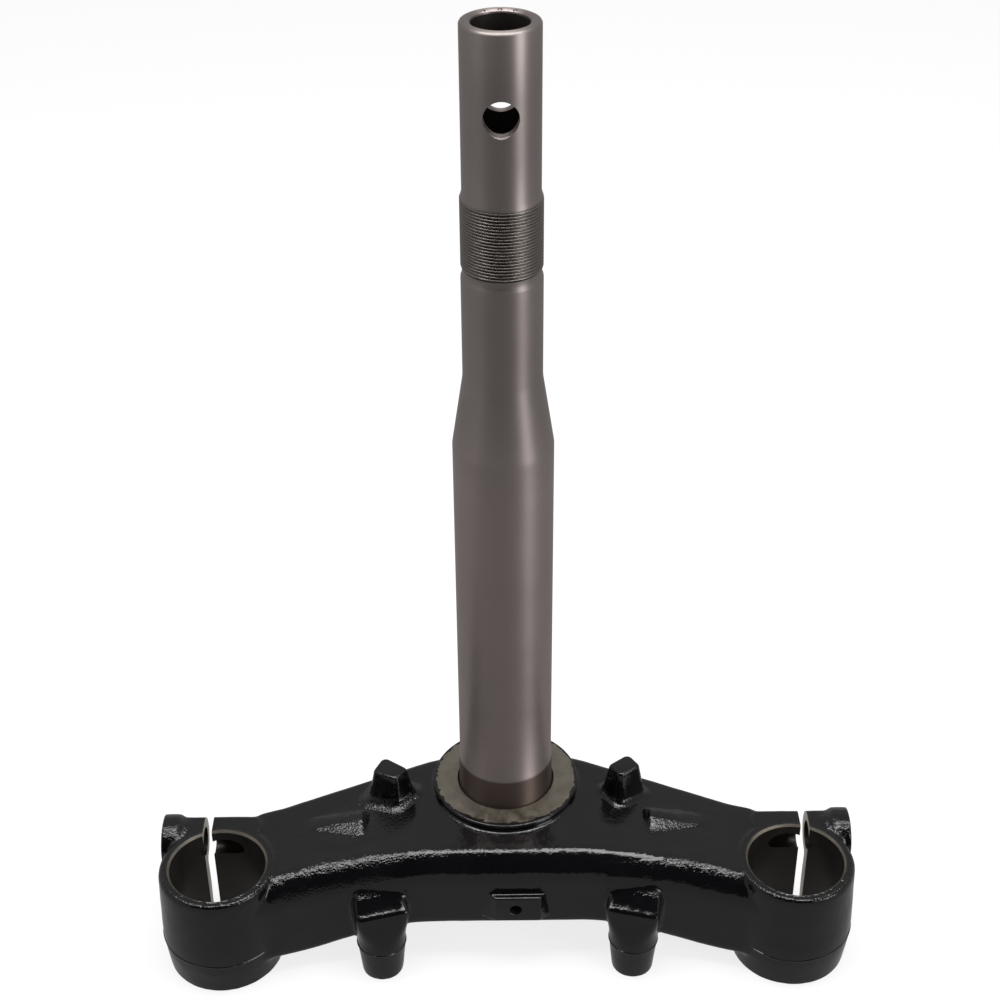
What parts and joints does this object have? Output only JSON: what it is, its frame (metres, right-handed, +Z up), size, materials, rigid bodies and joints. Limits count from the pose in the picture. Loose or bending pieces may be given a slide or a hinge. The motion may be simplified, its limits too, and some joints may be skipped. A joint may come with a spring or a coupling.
{
  "type": "motorcycle triple clamp",
  "caption": "Lower fork yoke with a pressed-in steering stem: cast crown with split clamps for the fork tubes, steering stops and mudguard bosses.",
  "frame": {"origin": "centre of the yoke's machined ring face, on the steering stem's axis", "axes": "+Z up the steering stem, -Y towards the front of the motorcycle, +X towards the viewer's right when seen from the front"},
  "size_m": [0.2444, 0.0828, 0.3276],
  "materials": {
    "yoke_paint": "glossy black over a cast surface, bare on the machined faces",
    "stem_steel": "satin, turned, slightly browned"
  },
  "bodies": {
    "root": {"yoke": "yoke_paint", "steering_stem": "stem_steel"}
  },
  "joints": []
}
